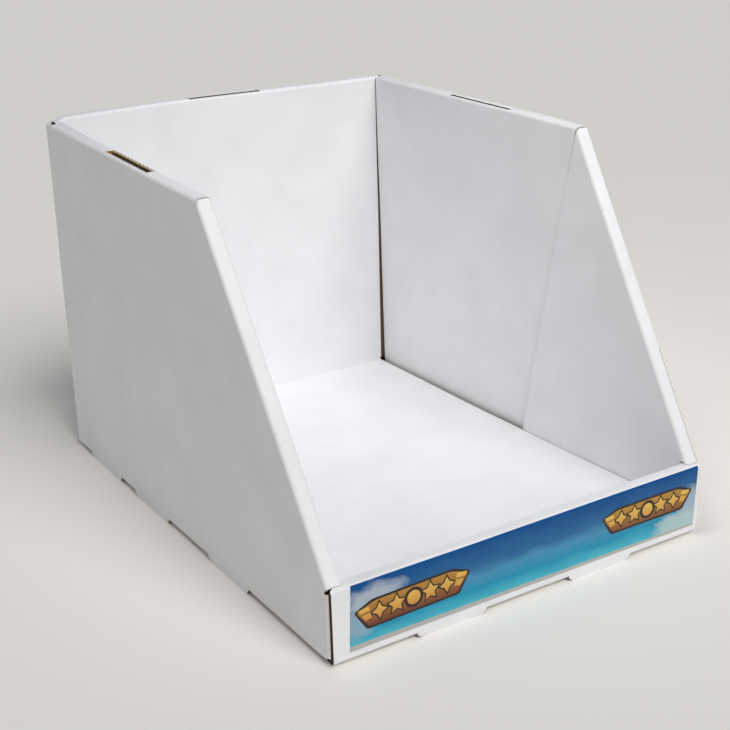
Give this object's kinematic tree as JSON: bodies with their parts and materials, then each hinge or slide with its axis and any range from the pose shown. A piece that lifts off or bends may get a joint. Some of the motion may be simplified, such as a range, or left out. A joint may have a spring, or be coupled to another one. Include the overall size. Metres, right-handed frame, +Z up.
{
  "type": "cardboard display stand",
  "caption": "Open-front countertop display tray folded from white lined corrugated board, with high sides sloping down to a low labelled lip.",
  "frame": {"origin": "middle of the footprint, on the table under the tips of the tongues", "axes": "+Z up, -Y is the way the low front lip faces, +X is on the right of someone who stands in front and looks along +Y, so the open slot is in the left wall"},
  "size_m": [0.3, 0.4002, 0.264],
  "materials": {
    "white_board": "white lined corrugated board, matt, with brown kraft at the raw edges and inside",
    "printed_label": "satin coated paper, blue sky over turquoise sea, two plain badges"
  },
  "bodies": {
    "root": {"tray": "white_board", "label": "printed_label"}
  },
  "joints": []
}
